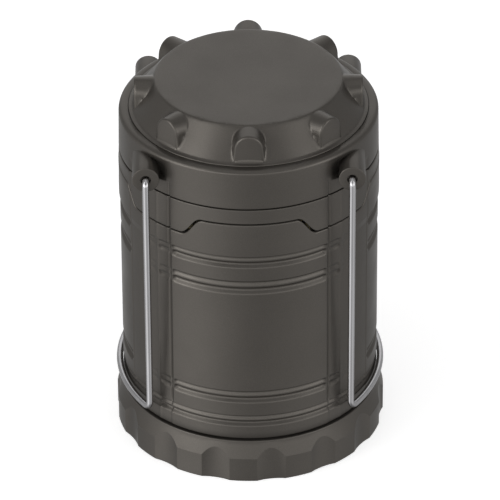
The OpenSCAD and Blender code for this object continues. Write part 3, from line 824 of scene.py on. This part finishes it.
def metal(name, colour, roughness, stretch=(1, 1, 1), scale=600, strength=0.15):
    """Metal with drawing or turning marks along the stretched direction."""
    f = Finish(name)
    marks = f.noise(scale, 3.0, stretch)
    f.join(f.tint(colour, f.spread(marks, 0.9, 1.06)), f.shader.inputs["Base Color"])
    f.join(f.spread(f.noise(120, 3.0), roughness - 0.05, roughness + 0.08), f.shader.inputs["Roughness"])
    f.set(Metallic=1.0)
    f.bumps((marks, strength, 0.03))
    return f.material


def clear_plastic(name):
    """Clear lens with a trace of unevenness."""
    f = Finish(name)
    f.set(Base_Color=(0.97, 0.98, 0.98, 1), IOR=1.49, Transmission_Weight=1.0)
    f.join(f.spread(f.noise(80, 3.0), 0.015, 0.05), f.shader.inputs["Roughness"])
    f.bumps((f.noise(60, 2.0), 0.05, 0.1))
    return f.material


def circuit_board(name):
    """White solder mask with faint copper tracks under it."""
    f = Finish(name)
    tracks = f.add("ShaderNodeTexWave", Scale=180.0, Distortion=1.5, Detail=1.0)
    f.join(f.place, tracks.inputs["Vector"])
    shade = f.spread(tracks.outputs["Fac"], 0.93, 1.0, 0.45, 0.6)
    f.join(f.tint(linear(236, 238, 232), shade), f.shader.inputs["Base Color"])
    f.set(Roughness=0.35)
    f.bumps((tracks.outputs["Fac"], 0.2, 0.03))
    return f.material


def phosphor(name):
    """Yellow phosphor of a white diode in its pale package."""
    f = Finish(name)
    grain = f.spread(f.noise(900, 2.0), 0.92, 1.08)
    f.join(f.tint(linear(244, 222, 110), grain), f.shader.inputs["Base Color"])
    f.set(Roughness=0.3, Emission_Color=linear(255, 240, 190), Emission_Strength=0.25)
    f.bumps((f.noise(2500, 2.0), 0.2, 0.03))
    return f.material


BAND_Z = 43.5


def sleeve(name):
    """Printed foil sleeve of a dry cell: a dark body with a plain coloured band at its top."""
    f = Finish(name)
    split = f.add("ShaderNodeSeparateXYZ")
    f.join(f.place, split.inputs[0])
    band = f.spread(split.outputs["Z"], 0, 1, BAND_Z * MM, (BAND_Z + 0.3) * MM)
    body = f.mix(band, linear(34, 36, 40), linear(176, 120, 60))
    f.join(body, f.shader.inputs["Base Color"])
    f.set(Metallic=0.4, Roughness=0.3)
    f.bumps((f.noise(400, 2.0), 0.1, 0.05))
    return f.material


GUNMETAL = metallic_plastic("gunmetal", linear(97, 93, 88), 0.34, 0.75)
BLACK = dark_plastic("black_plastic", linear(34, 34, 36))
RUBBER = dark_plastic("rubber", linear(22, 22, 22), 0.75)
WIRE = metal("plated_wire", linear(206, 205, 207), 0.16, (1, 1, 0.05), 400, 0.05)
STEEL = metal("screw_steel", linear(186, 186, 188), 0.3, (1, 1, 1), 1500)
MIRROR = metal("mirror_plating", linear(226, 227, 230), 0.06, (1, 1, 0.2), 120, 0.03)
BRASS = metal("contact_brass", linear(214, 178, 98), 0.25, (1, 1, 0.2), 900)
LENS = clear_plastic("clear_lens")
BOARD = circuit_board("board_white")
PHOSPHOR = phosphor("led_phosphor")
SLEEVE = sleeve("battery_sleeve")
RED_LEAD = dark_plastic("lead_insulation", linear(150, 34, 30), 0.4)
LAMINATE = dark_plastic("contact_board", linear(122, 86, 52), 0.55)

NODE_FINISH = {
    "neck_seal": RUBBER, "friction_ring": RUBBER, "battery_holder": BLACK, "holder_screws": STEEL,
    "batteries": SLEEVE, "top_contacts": BRASS, "contact_rails": BRASS, "holder_leads": RED_LEAD,
    "head_plate": BLACK, "head_screws": STEEL, "lens_tube": LENS, "reflector_column": MIRROR,
    "upper_reflector": MIRROR, "lower_reflector": MIRROR, "guide_ring": BLACK, "led_boards": BOARD,
    "leds": PHOSPHOR, "wiper_contacts": BRASS, "head_leads": RED_LEAD, "contact_disc": LAMINATE,
    "contact_plates": BRASS, "battery_springs": STEEL
}


def finish_cad_nodes():
    """Gives each CAD node that stays visible its material."""
    for name, material in NODE_FINISH.items():
        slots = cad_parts[name].data.materials
        if not slots:
            slots.append(material)
        for k in range(len(slots)):
            slots[k] = material


# ---------------------------------------------------------------- studio

def area_light(name, where, target, size, power):
    """Rectangular lamp at a place, turned to the target."""
    data = bpy.data.lights.new(name, "AREA")
    data.shape = "RECTANGLE"
    data.size, data.size_y = size
    data.energy = power
    lamp = bpy.data.objects.new(name, data)
    lamp.location = where
    lamp.rotation_euler = (Vector(target) - Vector(where)).to_track_quat("-Z", "Y").to_euler()
    bpy.context.scene.collection.objects.link(lamp)


def around_point(azimuth, elevation, distance, centre):
    """Place at a distance from the centre; azimuth runs from the front towards +X."""
    a, e = math.radians(azimuth), math.radians(elevation)
    back = Vector((math.sin(a) * math.cos(e), -math.cos(a) * math.cos(e), math.sin(e)))
    return Vector(centre) + back * distance


# Brightness of the surroundings by direction, as (degrees from the front towards +X, level)
SURROUND = [(-180, 0.9), (-168, 0.68), (-150, 0.35), (-122, 0.33), (-92, 0.5), (-55, 1.25),
            (-30, 0.8), (0, 0.31), (30, 0.5), (65, 0.72), (90, 0.47), (122, 0.34), (150, 0.36),
            (168, 0.64), (180, 0.9)]
OVERHEAD = 0.29
UNDERNEATH = 0.35
FRONT_BAND = 1.8


def build_surroundings(scene):
    """White background for the camera; for all other rays soft light panels all round.

    The panels are brighter in a band above eye level in front, with an even ceiling and a dim floor.
    """
    world = bpy.data.worlds.new("studio")
    scene.world = world
    world.use_nodes = True
    tree = world.node_tree

    def feed(socket, value):
        if hasattr(value, "is_output"):
            tree.links.new(value, socket)
        else:
            socket.default_value = value

    def calc(kind, a, b):
        node = tree.nodes.new("ShaderNodeMath")
        node.operation = kind
        feed(node.inputs[0], a)
        feed(node.inputs[1], b)
        return node.outputs[0]

    def between(value, start, end, low=0.0, high=1.0):
        node = tree.nodes.new("ShaderNodeMapRange")
        node.interpolation_type = "SMOOTHSTEP"
        for socket, number in zip(node.inputs, (value, start, end, low, high)):
            feed(socket, number)
        return node.outputs[0]

    def mix(factor, a, b):
        # Sockets 2 and 3 are the node's two numbers
        node = tree.nodes.new("ShaderNodeMix")
        node.data_type = "FLOAT"
        for socket, value in zip((node.inputs[0], node.inputs[2], node.inputs[3]), (factor, a, b)):
            feed(socket, value)
        return node.outputs[0]

    # Direction of the ray, and its place in a full turn
    split = tree.nodes.new("ShaderNodeSeparateXYZ")
    tree.links.new(tree.nodes.new("ShaderNodeTexCoord").outputs["Generated"], split.inputs[0])
    x, y, z = split.outputs
    forward = calc("MULTIPLY", y, -1)
    turn = calc("ADD", calc("DIVIDE", calc("ARCTAN2", x, forward), 2 * math.pi), 0.5)
    # Level of the panels by that direction
    ramp = tree.nodes.new("ShaderNodeValToRGB")
    ramp.color_ramp.interpolation = "B_SPLINE"
    stops = ramp.color_ramp.elements
    while len(stops) > 1:
        stops.remove(stops[-1])
    stops[0].color = [SURROUND[0][1]] * 3 + [1]
    for degrees, level in SURROUND[1:]:
        stops.new(degrees / 360 + 0.5).color = [level] * 3 + [1]
    tree.links.new(turn, ramp.inputs["Fac"])
    # Dim below, even above, brighter in the band in front
    panels = calc("MULTIPLY", ramp.outputs["Color"], between(z, -0.95, -0.65, UNDERNEATH, 1.0))
    level = mix(between(z, 0.1, 0.7), panels, OVERHEAD)
    band = calc("MULTIPLY", between(z, -0.05, 0.28), between(z, 0.65, 0.4))
    band = calc("MULTIPLY", band, between(forward, 0.0, 0.6, 0.0, FRONT_BAND))
    level = calc("MULTIPLY", level, calc("ADD", band, 1.0))
    seen = mix(tree.nodes.new("ShaderNodeLightPath").outputs["Is Camera Ray"], level, 1.0)
    tree.links.new(seen, tree.nodes["Background"].inputs["Color"])


FLOOR_HALF = 1500

# Lamps round the middle of the lantern: name, azimuth, elevation, distance (m), size (m), power (W)
LAMPS = [
    ("key_left", -58, 30, 0.9, (0.35, 0.9), 1.2),
    ("key_right", 62, 30, 0.9, (0.3, 0.9), 0.6),
    ("top", 0, 85, 1.0, (0.9, 0.9), 0.5),
    ("back", 180, 35, 1.0, (1.2, 0.6), 0.8),
]


def build_floor():
    """White paper that takes a faint shadow, and that cannot be seen from below."""
    corners = [(-1, -1, 0), (1, -1, 0), (1, 1, 0), (-1, 1, 0)]
    floor = make_mesh("floor", np.array(corners) * FLOOR_HALF, [[0, 1, 2, 3]])
    paper = Finish("floor_paper")
    cloud = paper.spread(paper.noise(8, 2.0), 0.99, 1.0)
    paper.join(paper.tint((0.92, 0.92, 0.92), cloud), paper.shader.inputs["Base Color"])
    paper.set(Roughness=0.9, Emission_Color=(1, 1, 1, 1), Emission_Strength=0.6)
    seen_from_below = paper.add("ShaderNodeNewGeometry").outputs["Backfacing"]
    paper.join(paper.spread(seen_from_below, 1, 0, 0, 1), paper.shader.inputs["Alpha"])
    floor.data.materials.append(paper.material)
    floor.visible_glossy = False
    floor.visible_diffuse = False


def build_studio():
    """Surroundings, floor and lamps of the picture."""
    scene = bpy.context.scene
    scene.view_settings.view_transform = "Standard"
    scene.view_settings.look = "None"
    build_surroundings(scene)
    build_floor()
    centre = (0, 0, TOP_Z / 2 * MM)
    for name, azimuth, elevation, distance, size, power in LAMPS:
        area_light(name, around_point(azimuth, elevation, distance, centre), centre, size, power)


# Camera: degrees above the horizon, roll in degrees, distance from the target in metres, lens in mm
CAMERA_ELEVATION = 32.82
CAMERA_ROLL = -0.35
CAMERA_DISTANCE = 1.695
CAMERA_LENS = 372.2
CAMERA_SHIFT = (0.0013, -0.0121)


def build_camera():
    """Camera at the viewing angle of the picture: a long lens, looking down on the front."""
    elevation, roll = math.radians(CAMERA_ELEVATION), math.radians(CAMERA_ROLL)
    target = Vector((0, 0, TOP_Z / 2 * MM))
    back = Vector((0, -math.cos(elevation), math.sin(elevation)))
    right = Vector((1, 0, 0))
    up = back.cross(right)
    x_axis = math.cos(roll) * right + math.sin(roll) * up
    y_axis = back.cross(x_axis)
    data = bpy.data.cameras.new("camera")
    data.sensor_width = 36
    data.lens = CAMERA_LENS
    data.shift_x, data.shift_y = CAMERA_SHIFT
    data.clip_start, data.clip_end = 0.05, 20
    camera = bpy.data.objects.new("camera", data)
    spot = target + back * CAMERA_DISTANCE
    camera.matrix_world = Matrix((
        (x_axis.x, y_axis.x, back.x, spot.x), (x_axis.y, y_axis.y, back.y, spot.y),
        (x_axis.z, y_axis.z, back.z, spot.z), (0, 0, 0, 1)
    ))
    bpy.context.scene.collection.objects.link(camera)
    bpy.context.scene.camera = camera


# ---------------------------------------------------------------- assembly

def build_lantern():
    """The seven pieces of the outside; all other nodes stay as packed."""
    collar = build_collar()
    union(collar, [build_boss(x, y) for x in (-1, 1) for y in (-1, 1)])
    moulded = [
        (build_lower_shell(), "housing", "lower_shell"), (build_head_skirt(), "light_head", "head_skirt"),
        (collar, "light_head", "handle_collar"), (build_top_cap(), "light_head", "top_cap"),
        (build_base_cap(), "cap", "base_cap")
    ]
    for piece, body, node in moulded:
        place(piece, body, GUNMETAL, "gunmetal_plastic", node)
    place(build_handle("left_wire_handle", -1), "left_wire", WIRE, "handle_wire", "left_handle")
    place(build_handle("right_wire_handle", 1), "right_wire", WIRE, "handle_wire", "right_handle")


build_lantern()
finish_cad_nodes()
build_studio()
build_camera()
